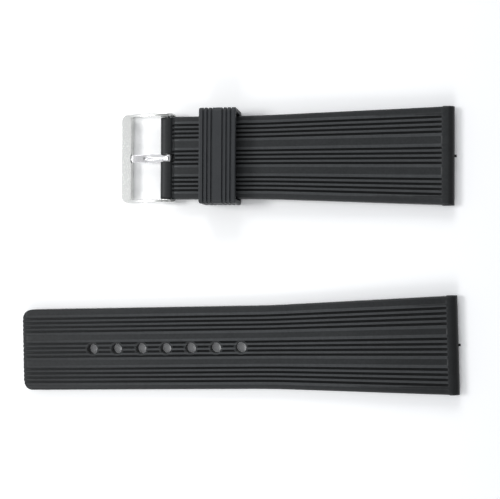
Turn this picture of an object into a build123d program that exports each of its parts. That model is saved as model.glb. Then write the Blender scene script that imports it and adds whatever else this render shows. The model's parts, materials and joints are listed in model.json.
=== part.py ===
from build123d import *
import os
from math import asin, atan2, cos, hypot, radians, sin

os.makedirs("parts", exist_ok=True)

# A rubber dive strap for a watch, laid out flat on a table, in millimetres.
# +Z is up and the table is Z = 0. The straps run along X, with their lug ends at +X.
# The buckle half lies at +Y. The tail half lies at -Y, turned a little in the plane of the table.
# The origin is on the table, in the middle of the whole.

# Both halves
buckle_width = 22.0
lug_body_width = 25.5
lug_bar_width = 25.6
lug_thickness = 3.7
lug_bar_length = 3.5
lug_bore_diameter = 2.0
taper_blend = 10.0
edge_round = 0.6
nub_diameter = 0.7
nub_length = 0.5
halves_apart = 50.4
lug_end_step = 1.15
tail_turn_angle = 1.66

# Ribs along each half, as shares of the local width; the tail's groups lie a little to one side
buckle_pitch_share = 0.0508
buckle_spacing_share = 0.3185
buckle_shift_share = 0.0
tail_pitch_share = 0.0526
tail_spacing_share = 0.311
tail_shift_share = -0.01

# Profile of the grooves and of the groups, as shares of the rib pitch, with its depths
groove_mouth_share = 0.42
groove_floor_share = 0.20
rib_shoulder_share = 2.30
rib_foot_share = 2.42
groove_depth = 0.5
band_drop = 0.15
rib_end_run = 0.5
channel_overrun = 0.3
end_relief_share = 0.1
taper_steps = 6

# Buckle half
buckle_half_reach = 75.65
buckle_half_thickness = 3.4
buckle_taper_start = 26.5
knuckle_diameter = 3.5
knuckle_end_gap = 0.2
knuckle_bore_clearance = 0.05
valley_drop = 0.65
rib_start = 1.65
slot_width = 2.7
slot_reach = 2.4
slot_round = 0.6
slot_pocket_diameter = 3.6

# Tail half
tail_length = 117.2
tail_thickness = 3.0
tail_tip_thickness = 2.3
tail_tip_bevel = 1.6
tail_tip_round = 3.0
tail_tip_relief_share = 0.5
tail_full_relief = 48.0
tail_taper_start = 68.5
hole_count = 7
hole_diameter = 2.9
hole_pitch = 6.8
first_hole = 19.8
collar_width = 0.5
collar_drop = 0.04

# Keeper, a loose rubber loop round the buckle half; its grooves lie in two groups of this count
keeper_length = 9.7
keeper_place = 9.95
keeper_height = 10.3
keeper_side_wall = 1.15
keeper_wall = 1.2
keeper_side_gap = 0.35
keeper_under_gap = 0.1
keeper_outer_round = 1.2
keeper_inner_round = 0.5
keeper_edge_round = 0.3
keeper_groove_count = 3
keeper_groove_pitch = 1.08
keeper_groove_width = 0.42
keeper_groove_depth = 0.45
keeper_band = 2.87
keeper_travel = 8.4

# Buckle frame
frame_reach = 12.65
front_bar_width = 2.65
front_bar_height = 3.0
front_bar_round = 0.3
front_corner_round = 1.7
arm_thickness = 0.8
arm_inner_gap = 0.1
arm_crown = 5.2
arm_depth = 2.5
arm_root_height = 0.7
ear_radius = 2.25

# Tongue
tongue_width = 2.0
tongue_waist = 1.75
tongue_overlap = 0.85
tongue_flat_reach = 8.1
tongue_tip_thickness = 0.75
tongue_eye_wall = 0.58
tongue_eye_clearance = 0.07
tongue_seat_gap = 0.05
notch_mouth = 3.0
notch_floor = 2.2
notch_reach = 1.1
notch_depth = 0.75

# Spring bar
bar_diameter = 1.8
bar_end_gap = 0.25
bar_bore_diameter = 1.3
bar_mouth_length = 0.35
bar_roll = 0.15
plunger_clearance = 0.05
plunger_stop_gap = 0.02
plunger_length = 3.0
nib_diameter = 0.9
nib_clearance = 0.05
nib_inset = 0.1
nib_round = 0.2
spring_wire = 0.2
spring_turns = 10
spring_wire_sides = 6
spring_clearance = 0.05

# Places worked out from the sizes above
strap_lift = keeper_wall + keeper_under_gap
body_top = strap_lift + buckle_half_thickness
bar_height = strap_lift + knuckle_diameter / 2
frame_inner_width = buckle_width + 2 * arm_inner_gap
frame_outer_width = frame_inner_width + 2 * arm_thickness
knuckle_width = frame_inner_width - 2 * knuckle_end_gap
lug_nose = lug_thickness / 2
clear_of_all = keeper_height + lug_thickness

turn = radians(tail_turn_angle)
tail_tip_x = -tail_length * cos(turn) / 2
tail_tip_y = -halves_apart / 2 - tail_length * sin(turn) / 2
bar_x = tail_length * cos(turn) / 2 - lug_end_step - buckle_half_reach

# Each half is drawn on its own plane: X runs from its free end to its lug end, Y across it, Z up.
buckle_base = Plane(origin=(bar_x, halves_apart / 2, 0), x_dir=(1, 0, 0), z_dir=(0, 0, 1))
tail_base = Plane(origin=(tail_tip_x, tail_tip_y, 0), x_dir=(cos(turn), sin(turn), 0), z_dir=(0, 0, 1))


def across(base, x):
    """The plane square to a half at a distance x along it: its X runs across and its Y is up."""
    return Plane(origin=base.origin + base.x_dir * x, x_dir=base.y_dir, z_dir=base.x_dir)


def lengthwise(base, side=0):
    """The upright plane along a half, at a distance to one side: its X runs along and its Y is up."""
    return Plane(origin=base.origin + base.y_dir * side, x_dir=base.x_dir, z_dir=-base.y_dir)


def ease(value, start, end):
    """A smooth step from 0 at start to 1 at end."""
    step = min(max((value - start) / (end - start), 0), 1)
    return step * step * (3 - 2 * step)


def between(start, end, steps):
    """Evenly spaced places from start to end."""
    return [start + (end - start) * step / steps for step in range(steps + 1)]


def strap_width(x, taper_start, length):
    """Local width: parallel, then a straight taper to the lug end that begins in a soft bend."""
    past = x - taper_start
    bend = taper_blend / 2
    if past <= -bend:
        run = 0
    elif past < bend:
        run = (past + bend) ** 2 / (4 * bend)
    else:
        run = past
    return buckle_width + (lug_body_width - buckle_width) * run / (length - taper_start)


def body_section(ribs, plane, width, under, top, relief):
    """One cross-section of a strap's body, without its grooves, as a face."""
    pitch_share, spacing_share, shift_share = ribs
    half = width / 2
    band = top - band_drop * relief
    rim = half - edge_round
    foot = (spacing_share + rib_foot_share * pitch_share) * width
    shoulder = (spacing_share + rib_shoulder_share * pitch_share) * width
    shift = shift_share * width
    with BuildSketch(plane) as section:
        with BuildLine():
            Polyline((-rim, band), (shift - foot, band), (shift - shoulder, top),
                     (shift + shoulder, top), (shift + foot, band), (rim, band))
            RadiusArc((rim, band), (half, band - edge_round), edge_round)
            Line((half, band - edge_round), (half, under + edge_round))
            RadiusArc((half, under + edge_round), (rim, under), edge_round)
            Line((rim, under), (-rim, under))
            RadiusArc((-rim, under), (-half, under + edge_round), edge_round)
            Line((-half, under + edge_round), (-half, band - edge_round))
            RadiusArc((-half, band - edge_round), (-rim, band), edge_round)
        make_face()
    return section.sketch.face()


def strap_body(base, ribs, stations):
    """The body of a half, lofted through its stations. A station is x, width, underside, top and relief."""
    sections = [body_section(ribs, across(base, x), *sizes) for x, *sizes in stations]
    return loft(sections=sections, ruled=True, mode=Mode.PRIVATE)


def channel(base, stations, middle_share, mouth_share, floor_share, depth):
    """A tapering channel to cut along the top of a body: it follows the width and runs out at relief 0."""
    sections = []
    for x, width, under, top, relief in stations:
        middle = middle_share * width
        foot = floor_share * width / 2
        mouth = foot + (mouth_share - floor_share) * width / 2 * (depth * relief + channel_overrun) / depth
        low = top - depth * relief
        high = top + channel_overrun
        with BuildSketch(across(base, x)) as section:
            with BuildLine():
                Polyline((middle - mouth, high), (middle - foot, low),
                         (middle + foot, low), (middle + mouth, high), close=True)
            make_face()
        sections.append(section.sketch.face())
    return loft(sections=sections, ruled=True, mode=Mode.PRIVATE)


def rib_channels(base, ribs, stations):
    """Three groups of four narrow grooves, and the two shallow bands between the groups."""
    pitch_share, spacing_share, shift_share = ribs
    mouth_share = groove_mouth_share * pitch_share
    floor_share = groove_floor_share * pitch_share
    channels = []
    for group in (-1, 0, 1):
        for groove in (-3, -1, 1, 3):
            middle_share = shift_share + group * spacing_share + groove * pitch_share / 2
            channels.append(channel(base, stations, middle_share, mouth_share, floor_share, groove_depth))
    for side in (-1, 1):
        mouth_share = spacing_share - 2 * rib_shoulder_share * pitch_share
        floor_share = spacing_share - 2 * rib_foot_share * pitch_share
        middle_share = shift_share + side * spacing_share / 2
        channels.append(channel(base, stations, middle_share, mouth_share, floor_share, band_drop))
    return channels


def disc(plane, x, y, diameter):
    """A round face at a place on a plane."""
    with BuildSketch(plane) as round_face:
        with Locations((x, y)):
            Circle(diameter / 2)
    return round_face.sketch


def lug_bar_side(base, length):
    """Side view of the smooth bar at the lug end, with its round nose."""
    with BuildSketch(lengthwise(base)) as side:
        with Locations((length - lug_nose, lug_nose)):
            Circle(lug_nose)
        with Locations((length - lug_bar_length, 0)):
            Rectangle(lug_bar_length - lug_nose, lug_thickness, align=(Align.MIN, Align.MIN))
    return side.sketch


# Buckle half: ribbed body, lug bar, and the knuckle tube with a slot for the tongue.
# The slot is open above the spring bar, and a round pocket about the bar takes the tongue's eye.
buckle_ribs = (buckle_pitch_share, buckle_spacing_share, buckle_shift_share)
ribs_end = buckle_half_reach - lug_bar_length
straight_end = keeper_place + keeper_length + keeper_travel
stations = [(rib_start + rib_end_run, buckle_width, strap_lift, body_top, 1)]
bend_places = [buckle_taper_start - taper_blend / 2, buckle_taper_start]
for x in bend_places + between(straight_end, ribs_end - rib_end_run, taper_steps):
    rise = ease(x, straight_end, ribs_end)
    under = strap_lift * (1 - rise)
    thickness = buckle_half_thickness + (lug_thickness - buckle_half_thickness) * rise
    width = strap_width(x, buckle_taper_start, buckle_half_reach)
    stations.append((x, width, under, under + thickness, 1))
end_width = strap_width(ribs_end, buckle_taper_start, buckle_half_reach)
stations.append((ribs_end, end_width, 0, lug_thickness, end_relief_share))
valley_station = (rib_start, buckle_width, strap_lift, body_top - valley_drop, end_relief_share)
groove_start = (rib_start, buckle_width, strap_lift, body_top, 1)

with BuildPart() as buckle_strap:
    add(strap_body(buckle_base, buckle_ribs, [valley_station] + stations))
    add(rib_channels(buckle_base, buckle_ribs, [groove_start] + stations), mode=Mode.SUBTRACT)
    extrude(lug_bar_side(buckle_base, buckle_half_reach), amount=lug_bar_width / 2, both=True)
    with BuildSketch(lengthwise(buckle_base)):
        with Locations((0, bar_height)):
            Circle(knuckle_diameter / 2)
        with Locations((0, strap_lift)):
            Rectangle(rib_start, body_top - valley_drop - strap_lift, align=(Align.MIN, Align.MIN))
    extrude(amount=knuckle_width / 2, both=True)
    knuckle_bore = disc(lengthwise(buckle_base), 0, bar_height, bar_diameter + 2 * knuckle_bore_clearance)
    extrude(knuckle_bore, amount=buckle_width, both=True, mode=Mode.SUBTRACT)
    with BuildSketch(buckle_base.offset(bar_height)):
        with Locations((slot_reach, 0)):
            slot_length = 2 * (slot_reach + knuckle_diameter)
            RectangleRounded(slot_length, slot_width, slot_round, align=(Align.MAX, Align.CENTER))
    extrude(amount=clear_of_all, mode=Mode.SUBTRACT)
    slot_pocket = disc(lengthwise(buckle_base), 0, bar_height, slot_pocket_diameter)
    extrude(slot_pocket, amount=slot_width / 2, both=True, mode=Mode.SUBTRACT)
    lug_bore = disc(lengthwise(buckle_base), buckle_half_reach - lug_nose, lug_nose, lug_bore_diameter)
    extrude(lug_bore, amount=lug_bar_width, both=True, mode=Mode.SUBTRACT)
    extrude(disc(across(buckle_base, buckle_half_reach - nub_length), 0, lug_nose, nub_diameter),
            amount=2 * nub_length)
buckle_strap.part.label = "buckle_strap"
export_step(buckle_strap.part, "parts/buckle_strap.step")

# Tail half: ribbed body with a bevelled tip, lug bar, and a row of holes, each with a flush collar
tail_ribs = (tail_pitch_share, tail_spacing_share, tail_shift_share)
ribs_end = tail_length - lug_bar_length
stations = [
    (0, buckle_width, 0, tail_tip_thickness, tail_tip_relief_share),
    (tail_tip_bevel, buckle_width, 0, tail_thickness, tail_tip_relief_share),
    (tail_full_relief, buckle_width, 0, tail_thickness, 1),
]
bend_places = [tail_taper_start - taper_blend / 2, tail_taper_start]
for x in bend_places + between(tail_taper_start + taper_blend / 2, ribs_end - rib_end_run, taper_steps):
    rise = ease(x, tail_taper_start, ribs_end)
    thickness = tail_thickness + (lug_thickness - tail_thickness) * rise
    stations.append((x, strap_width(x, tail_taper_start, tail_length), 0, thickness, 1))
end_width = strap_width(ribs_end, tail_taper_start, tail_length)
stations.append((ribs_end, end_width, 0, lug_thickness, end_relief_share))
hole_places = [(first_hole + hole_pitch * number, 0) for number in range(hole_count)]

with BuildPart() as tail_strap:
    add(strap_body(tail_base, tail_ribs, stations))
    add(rib_channels(tail_base, tail_ribs, stations), mode=Mode.SUBTRACT)
    extrude(lug_bar_side(tail_base, tail_length), amount=lug_bar_width / 2, both=True)
    with BuildSketch(tail_base):
        Rectangle(tail_tip_round, buckle_width, align=(Align.MIN, Align.CENTER))
        RectangleRounded(2 * buckle_width, buckle_width, tail_tip_round,
                         align=(Align.MIN, Align.CENTER), mode=Mode.SUBTRACT)
    extrude(amount=lug_thickness, mode=Mode.SUBTRACT)
    with BuildSketch(tail_base.offset(tail_thickness - groove_depth)):
        with Locations(*hole_places):
            Circle(hole_diameter / 2 + collar_width)
    extrude(amount=groove_depth - collar_drop)
    with BuildSketch(tail_base):
        with Locations(*hole_places):
            Circle(hole_diameter / 2)
    extrude(amount=lug_thickness, mode=Mode.SUBTRACT)
    lug_bore = disc(lengthwise(tail_base), tail_length - lug_nose, lug_nose, lug_bore_diameter)
    extrude(lug_bore, amount=lug_bar_width, both=True, mode=Mode.SUBTRACT)
    extrude(disc(across(tail_base, tail_length - nub_length), 0, lug_nose, nub_diameter),
            amount=2 * nub_length)
tail_strap.part.label = "tail_strap"
export_step(tail_strap.part, "parts/tail_strap.step")

# Keeper: a rounded box loop, with two groups of grooves that run all round it
keeper_inner_width = buckle_width + 2 * keeper_side_gap
keeper_outer_width = keeper_inner_width + 2 * keeper_side_wall
keeper_middle = keeper_place + keeper_length / 2
with BuildPart() as keeper:
    with BuildSketch(across(buckle_base, keeper_place)):
        with Locations((0, keeper_height / 2)):
            RectangleRounded(keeper_outer_width, keeper_height, keeper_outer_round)
    extrude(amount=keeper_length)
    fillet(keeper.faces().filter_by(Axis.X).edges(), radius=keeper_edge_round)
    with BuildSketch(across(buckle_base, keeper_place)):
        with Locations((0, keeper_height / 2)):
            RectangleRounded(keeper_inner_width, keeper_height - 2 * keeper_wall, keeper_inner_round)
    extrude(amount=keeper_length, mode=Mode.SUBTRACT)
    for side in (-1, 1):
        for number in range(keeper_groove_count):
            offset_x = side * (keeper_band / 2 + keeper_groove_pitch * number)
            with BuildSketch(across(buckle_base, keeper_middle + offset_x - keeper_groove_width / 2)):
                with Locations((0, keeper_height / 2)):
                    Rectangle(2 * keeper_outer_width, 2 * keeper_height)
                    RectangleRounded(
                        keeper_outer_width - 2 * keeper_groove_depth,
                        keeper_height - 2 * keeper_groove_depth,
                        keeper_outer_round - keeper_groove_depth,
                        mode=Mode.SUBTRACT,
                    )
            extrude(amount=keeper_groove_width, mode=Mode.SUBTRACT)
keeper.part.label = "keeper"
export_step(keeper.part, "parts/keeper.step")

# Buckle frame: a front bar with a notch, and two thin arched arms that end in round ears
window_x = -frame_reach + front_bar_width
with BuildPart() as buckle_frame:
    with BuildSketch(lengthwise(buckle_base, -frame_outer_width / 2)):
        with BuildLine():
            arm_front = window_x - front_bar_width / 4
            ear_top = (0, bar_height + ear_radius)
            ear_middle = (0, bar_height)
            ThreePointArc((arm_front, front_bar_height), (window_x / 2, arm_crown), ear_top)
            Line(ear_top, ear_middle)
            ThreePointArc(ear_middle, (window_x / 2, arm_crown - arm_depth), (arm_front, arm_root_height))
            Line((arm_front, arm_root_height), (arm_front, front_bar_height))
        make_face()
        with Locations((0, bar_height)):
            Circle(ear_radius)
    extrude(amount=-arm_thickness)
    mirror(about=lengthwise(buckle_base))
    with BuildSketch(lengthwise(buckle_base)):
        with Locations((-frame_reach, 0)):
            RectangleRounded(front_bar_width, front_bar_height, front_bar_round, align=(Align.MIN, Align.MIN))
    extrude(amount=frame_outer_width / 2, both=True)
    with BuildSketch(buckle_base):
        with Locations((-frame_reach, 0)):
            Rectangle(front_corner_round, frame_outer_width, align=(Align.MIN, Align.CENTER))
            RectangleRounded(2 * frame_reach, frame_outer_width, front_corner_round,
                             align=(Align.MIN, Align.CENTER), mode=Mode.SUBTRACT)
    extrude(amount=clear_of_all, mode=Mode.SUBTRACT)
    with BuildSketch(across(buckle_base, window_x)):
        notch_foot = front_bar_height - notch_depth
        with BuildLine():
            Polyline((-notch_mouth / 2, front_bar_height), (-notch_floor / 2, notch_foot),
                     (notch_floor / 2, notch_foot), (notch_mouth / 2, front_bar_height), close=True)
        make_face()
    extrude(amount=-notch_reach, mode=Mode.SUBTRACT)
    ear_hole = disc(lengthwise(buckle_base), 0, bar_height, nib_diameter + 2 * nib_clearance)
    extrude(ear_hole, amount=frame_outer_width, both=True, mode=Mode.SUBTRACT)
buckle_frame.part.label = "buckle_frame"
export_step(buckle_frame.part, "parts/buckle_frame.step")

# Tongue: a steel pin with a level tip that lies in the notch, and a straight body that slopes up to its eye
tongue_reach = tongue_overlap - window_x
tip_floor = front_bar_height - notch_depth + tongue_seat_gap
tip_top = tip_floor + tongue_tip_thickness
tip_end = tongue_reach - tongue_width / 2
eye_radius = bar_diameter / 2 + tongue_eye_clearance + tongue_eye_wall
slope = asin(eye_radius / hypot(tongue_flat_reach, bar_height - tip_top))
slope += atan2(bar_height - tip_top, tongue_flat_reach)
with BuildPart() as tongue:
    with BuildSketch(lengthwise(buckle_base)):
        with BuildLine():
            Polyline(
                (-tongue_reach, tip_floor),
                (-tongue_reach, tip_top),
                (-tongue_flat_reach, tip_top),
                (-eye_radius * sin(slope), bar_height + eye_radius * cos(slope)),
                (0, bar_height),
                (-tongue_flat_reach, tip_floor),
                close=True,
            )
        make_face()
        with Locations((0, bar_height)):
            Circle(eye_radius)
            Circle(bar_diameter / 2 + tongue_eye_clearance, mode=Mode.SUBTRACT)
    extrude(amount=tongue_width / 2, both=True)
    with BuildSketch(buckle_base):
        with BuildLine():
            ThreePointArc((eye_radius, tongue_width / 2), (-tongue_reach / 2, tongue_waist / 2),
                          (-tip_end, tongue_width / 2))
            ThreePointArc((-tip_end, tongue_width / 2), (-tongue_reach, 0), (-tip_end, -tongue_width / 2))
            ThreePointArc((-tip_end, -tongue_width / 2), (-tongue_reach / 2, -tongue_waist / 2),
                          (eye_radius, -tongue_width / 2))
            Line((eye_radius, -tongue_width / 2), (eye_radius, tongue_width / 2))
        make_face()
    extrude(amount=clear_of_all, mode=Mode.INTERSECT)
tongue.part.label = "tongue"
export_step(tongue.part, "parts/tongue.step")

# Spring bar: a steel tube with rolled mouths, a sprung tip at each end, and the coil between them.
# The coil is shut in, so its wire has flat sides to keep it light.
bar_length = frame_inner_width - 2 * bar_end_gap
bar_axis = Axis(origin=buckle_base.origin + buckle_base.z_dir * bar_height, direction=buckle_base.y_dir)
bar_section = Plane(origin=bar_axis.position, x_dir=buckle_base.y_dir, z_dir=buckle_base.x_dir)
mouth_radius = nib_diameter / 2 + nib_clearance
with BuildPart() as bar_tube:
    with BuildSketch(bar_section):
        with BuildLine():
            end = bar_length / 2
            Polyline(
                (-end, mouth_radius),
                (-end, bar_diameter / 2 - bar_roll),
                (-end + bar_roll, bar_diameter / 2),
                (end - bar_roll, bar_diameter / 2),
                (end, bar_diameter / 2 - bar_roll),
                (end, mouth_radius),
                (end - bar_mouth_length, mouth_radius),
                (end - bar_mouth_length, bar_bore_diameter / 2),
                (-end + bar_mouth_length, bar_bore_diameter / 2),
                (-end + bar_mouth_length, mouth_radius),
                close=True,
            )
        make_face()
    revolve(axis=bar_axis)
bar_tube.part.label = "bar_tube"
export_step(bar_tube.part, "parts/bar_tube.step")

plunger_radius = bar_bore_diameter / 2 - plunger_clearance
plunger_out = bar_length / 2 - bar_mouth_length - plunger_stop_gap
plunger_in = plunger_out - plunger_length
nib_out = frame_outer_width / 2 - nib_inset
for name, side in (("bar_tip_left", 1), ("bar_tip_right", -1)):
    with BuildPart() as bar_tip:
        with BuildSketch(bar_section):
            with BuildLine():
                Polyline(
                    (side * plunger_in, 0),
                    (side * plunger_in, plunger_radius),
                    (side * plunger_out, plunger_radius),
                    (side * plunger_out, nib_diameter / 2),
                    (side * (nib_out - nib_round), nib_diameter / 2),
                    (side * nib_out, nib_diameter / 2 - nib_round),
                    (side * nib_out, 0),
                    close=True,
                )
            make_face()
        revolve(axis=bar_axis)
    bar_tip.part.label = name
    export_step(bar_tip.part, f"parts/{name}.step")

coil_radius = bar_bore_diameter / 2 - spring_clearance - spring_wire / 2
coil_end = plunger_in - spring_clearance - spring_wire / 2
coil_pitch = 2 * coil_end / spring_turns
with BuildPart() as bar_spring:
    with BuildLine() as coil:
        Helix(coil_pitch, 2 * coil_end, coil_radius,
              center=bar_axis.position - bar_axis.direction * coil_end, direction=bar_axis.direction)
    with BuildSketch(Plane(origin=coil.line @ 0, z_dir=coil.line % 0)):
        RegularPolygon(spring_wire / 2, spring_wire_sides)
    sweep(path=coil.line, is_frenet=True)
bar_spring.part.label = "bar_spring"
export_step(bar_spring.part, "parts/bar_spring.step")
print("least gap between turns of the spring, mm:", round(coil_pitch - spring_wire, 3))
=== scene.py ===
# %% [markdown]
# A rubber dive strap in two halves, laid out flat on a pale table: a short half with a steel buckle and
# a sliding keeper, and a long half with holes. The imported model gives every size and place, so it is
# loaded first. What Blender adds is the real shape of the moulded rubber, the bevels of the steel and
# their finishes.

# %% Load the frame
import json
from functools import partial
from math import cos, pi, radians, sin, sqrt

import bmesh
import bpy
from mathutils import Matrix, Vector


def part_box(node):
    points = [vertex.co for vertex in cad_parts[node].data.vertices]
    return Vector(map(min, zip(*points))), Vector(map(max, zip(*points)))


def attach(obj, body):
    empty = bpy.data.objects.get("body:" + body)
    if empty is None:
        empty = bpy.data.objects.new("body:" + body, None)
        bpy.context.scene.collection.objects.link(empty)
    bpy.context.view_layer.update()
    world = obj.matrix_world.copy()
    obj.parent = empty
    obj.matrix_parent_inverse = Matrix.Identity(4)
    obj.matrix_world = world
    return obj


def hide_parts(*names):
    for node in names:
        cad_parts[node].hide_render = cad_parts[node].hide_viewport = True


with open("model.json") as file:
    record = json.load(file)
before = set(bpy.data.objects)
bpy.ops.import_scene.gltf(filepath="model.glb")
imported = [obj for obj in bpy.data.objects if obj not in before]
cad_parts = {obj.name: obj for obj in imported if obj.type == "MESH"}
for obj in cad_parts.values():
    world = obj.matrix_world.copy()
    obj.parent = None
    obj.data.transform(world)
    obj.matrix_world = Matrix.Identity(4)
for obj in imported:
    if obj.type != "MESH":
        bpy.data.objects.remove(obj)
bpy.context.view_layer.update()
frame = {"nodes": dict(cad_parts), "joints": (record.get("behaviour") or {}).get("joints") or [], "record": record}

mm = 0.001

# %% [markdown]
# Everything on the strap is placed from three things: the axis of the spring bar, the lug bore of each
# half, and the direction that each bore runs in. They are in the record, so they are read from there.

# %% Places from the record
joints = {joint["name"]: joint for joint in frame["joints"]}
mounts = {mount["name"]: mount for mount in frame["record"]["mounts"]}
bar_place = Vector(joints["buckle_hinge"]["pos_m"])
keeper_low, keeper_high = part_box("keeper")
frame_low, frame_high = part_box("buckle_frame")
tongue_low, tongue_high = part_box("tongue")
tube_low, tube_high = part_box("bar_tube")

buckle_bore = Vector(mounts["lug_bore_buckle_half"]["pos_m"])
tail_bore = Vector(mounts["lug_bore_tail_half"]["pos_m"])
lug_nose = buckle_bore.z
tail_across = -Vector(mounts["lug_bore_tail_half"]["axis"])
buckle_reach = buckle_bore.x + lug_nose - bar_place.x
tail_length = 117.2 * mm

buckle_frame_place = Matrix.Translation((bar_place.x, bar_place.y, 0))
tail_turn = Matrix((
    (tail_across.y, tail_across.x, 0, 0),
    (-tail_across.x, tail_across.y, 0, 0),
    (0, 0, 1, 0),
    (0, 0, 0, 1),
))
tail_tip = tail_bore - tail_turn.to_3x3() @ Vector((tail_length - lug_nose, 0, 0))
tail_place = Matrix.Translation((tail_tip.x, tail_tip.y, 0)) @ tail_turn
print("bar axis, mm:", [round(value / mm, 2) for value in bar_place])
print("buckle half reaches, mm:", round(buckle_reach / mm, 2))
print("tail tip, mm:", [round(value / mm, 2) for value in tail_tip])
print("spring bar, mm:", round((tube_high.z - tube_low.z) / mm, 2), "thick")
print("tongue, mm:", round((tongue_high.x - tongue_low.x) / mm, 2), "long")

# %% [markdown]
# Each material is a small network of nodes. A helper writes a node, sets its values and links its
# inputs in one call, so that a material reads like a recipe. The same helper serves Geometry Nodes
# later on.


# %% Helpers for node trees
def add_node(tree, kind, sockets=None, **settings):
    """One node: settings are its own options, and sockets gives each input a value or a link."""
    node = tree.nodes.new(kind)
    for option, value in settings.items():
        setattr(node, option, value)
    for key, value in (sockets or {}).items():
        if isinstance(value, bpy.types.NodeSocket):
            tree.links.new(value, node.inputs[key])
        else:
            node.inputs[key].default_value = value
    return node


def math_node(tree, operation, *values):
    """The result of one Math node."""
    return add_node(tree, "ShaderNodeMath", dict(enumerate(values)), operation=operation).outputs[0]


def mixed_colour(tree, share, first, second, **settings):
    """One colour made of two. For colours, a Mix node's inputs are 6 and 7, and its result is 2."""
    node = add_node(tree, "ShaderNodeMix", {0: share, 6: first, 7: second}, data_type="RGBA", **settings)
    return node.outputs[2]


def new_material(name):
    """An empty material: its tree and its output node."""
    material = bpy.data.materials.new(name)
    material.use_nodes = True
    tree = material.node_tree
    tree.nodes.clear()
    return material, tree, add_node(tree, "ShaderNodeOutputMaterial")


def object_noise(tree, scale, stretch=(1, 1, 1), detail=4.0):
    """Noise on object coordinates, in cells per metre, stretched along an axis where wanted."""
    place = add_node(tree, "ShaderNodeTexCoord").outputs["Object"]
    mapped = add_node(tree, "ShaderNodeMapping", {"Vector": place, "Scale": stretch}).outputs["Vector"]
    noise = add_node(tree, "ShaderNodeTexNoise", {"Vector": mapped, "Scale": scale, "Detail": detail})
    return noise.outputs["Fac"]


def ranged(tree, value, low, high):
    """A value from 0 to 1 turned into one from low to high."""
    node = add_node(tree, "ShaderNodeMapRange", {"Value": value, "To Min": low, "To Max": high})
    return node.outputs["Result"]


# %% [markdown]
# Moulded rubber is nearly black, but never quite: its skin has a fine grain from the mould, specks, and
# slightly paler and duller clouds where it has been handled. The grain goes into the bump, the specks
# into the colour, and the clouds into both the colour and the roughness. On the ribs the colour also
# carries painted light: the tops of the ribs are painted paler, as a painted sheen, and the grooves
# between them darker, as painted shade. So each point of a half carries an attribute that says how deep
# it lies, and a colour ramp turns that into how pale the rubber is painted.


# %% Rubber
cloud_scale = 260.0
speck_scale = 1500.0
grain_scale = 5200.0
speck_share = 0.7
rubber_spread = 0.06
grain_strength = 0.35
grain_height = 0.02 * mm

# Painted sheen and shade: how pale the rubber is painted, by how far it lies under the tops of the ribs, in groove
# depths
rib_sheen_and_shade = ((0.0, 1.0), (0.1, 0.85), (0.28, 0.52), (0.5, 0.25), (1.0, 0.12))


def rubber_material(name, dark, pale, roughness, shine, ribbed=False):
    material, tree, output = new_material(name)
    clouds = object_noise(tree, cloud_scale)
    specks = object_noise(tree, speck_scale)
    grain = object_noise(tree, grain_scale, detail=2.0)
    uneven = add_node(tree, "ShaderNodeMix", {"Factor": speck_share, "A": clouds, "B": specks}).outputs[0]
    colour = mixed_colour(tree, uneven, dark, pale)
    # Painted sheen and shade: the tops of the ribs are painted paler and the grooves darker
    if ribbed:
        painted_sheen_and_shade = add_node(tree, "ShaderNodeAttribute", attribute_name="painted_sheen_and_shade").outputs["Fac"]
        sheen_and_shade_ramp = add_node(tree, "ShaderNodeValToRGB", {"Fac": painted_sheen_and_shade})
        ramp = sheen_and_shade_ramp.color_ramp
        ramp.elements[0].position = rib_sheen_and_shade[0][0]
        ramp.elements[1].position = rib_sheen_and_shade[-1][0]
        for place, _ in rib_sheen_and_shade[1:-1]:
            ramp.elements.new(place)
        for element, (_, share) in zip(ramp.elements, rib_sheen_and_shade):
            element.color = (share, share, share, 1)
        colour = mixed_colour(tree, 1.0, colour, sheen_and_shade_ramp.outputs["Color"], blend_type="MULTIPLY")
    bump = add_node(tree, "ShaderNodeBump",
                    {"Height": grain, "Strength": grain_strength, "Distance": grain_height})
    shader = add_node(tree, "ShaderNodeBsdfPrincipled", {
        "Base Color": colour,
        "Roughness": ranged(tree, clouds, roughness - rubber_spread, roughness + rubber_spread),
        "Specular IOR Level": shine,
        "Normal": bump.outputs["Normal"],
    })
    tree.links.new(shader.outputs["BSDF"], output.inputs["Surface"])
    return material


strap_dark = (0.032, 0.034, 0.036, 1)
strap_pale = (0.074, 0.079, 0.083, 1)
keeper_dark = (0.018, 0.020, 0.023, 1)
keeper_pale = (0.034, 0.037, 0.040, 1)
strap_rubber = rubber_material(
    "strap_rubber", strap_dark, strap_pale, roughness=0.42, shine=0.19, ribbed=True
)
keeper_rubber = rubber_material("keeper_rubber", keeper_dark, keeper_pale, roughness=0.5, shine=0.3)
print("rubber:", strap_rubber.name, keeper_rubber.name)

# %% [markdown]
# The steel is of three kinds: the frame of the buckle has a fine satin top, the tongue is brushed along
# its length, and the spring bar is turned, so its marks run round it. One recipe makes all three: noise
# that is stretched along the marks, in the roughness and in a very faint bump. Each kind says which way
# its marks run, as how far the noise is squeezed along each axis, and how deep they are.


# %% Steel
smear_scale = 300.0
mark_strength = 0.3


def steel_material(name, colour, roughness, spread, stretch, mark_scale, mark_depth):
    material, tree, output = new_material(name)
    marks = object_noise(tree, mark_scale, stretch, detail=3.0)
    smears = object_noise(tree, smear_scale)
    bump = add_node(tree, "ShaderNodeBump",
                    {"Height": marks, "Strength": mark_strength, "Distance": mark_depth})
    marked = ranged(tree, marks, roughness - spread, roughness + spread)
    smeared = ranged(tree, smears, -spread / 2, spread / 2)
    shader = add_node(tree, "ShaderNodeBsdfPrincipled", {
        "Base Color": colour,
        "Metallic": 1.0,
        "Roughness": math_node(tree, "ADD", marked, smeared),
        "Normal": bump.outputs["Normal"],
    })
    tree.links.new(shader.outputs["BSDF"], output.inputs["Surface"])
    return material


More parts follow.
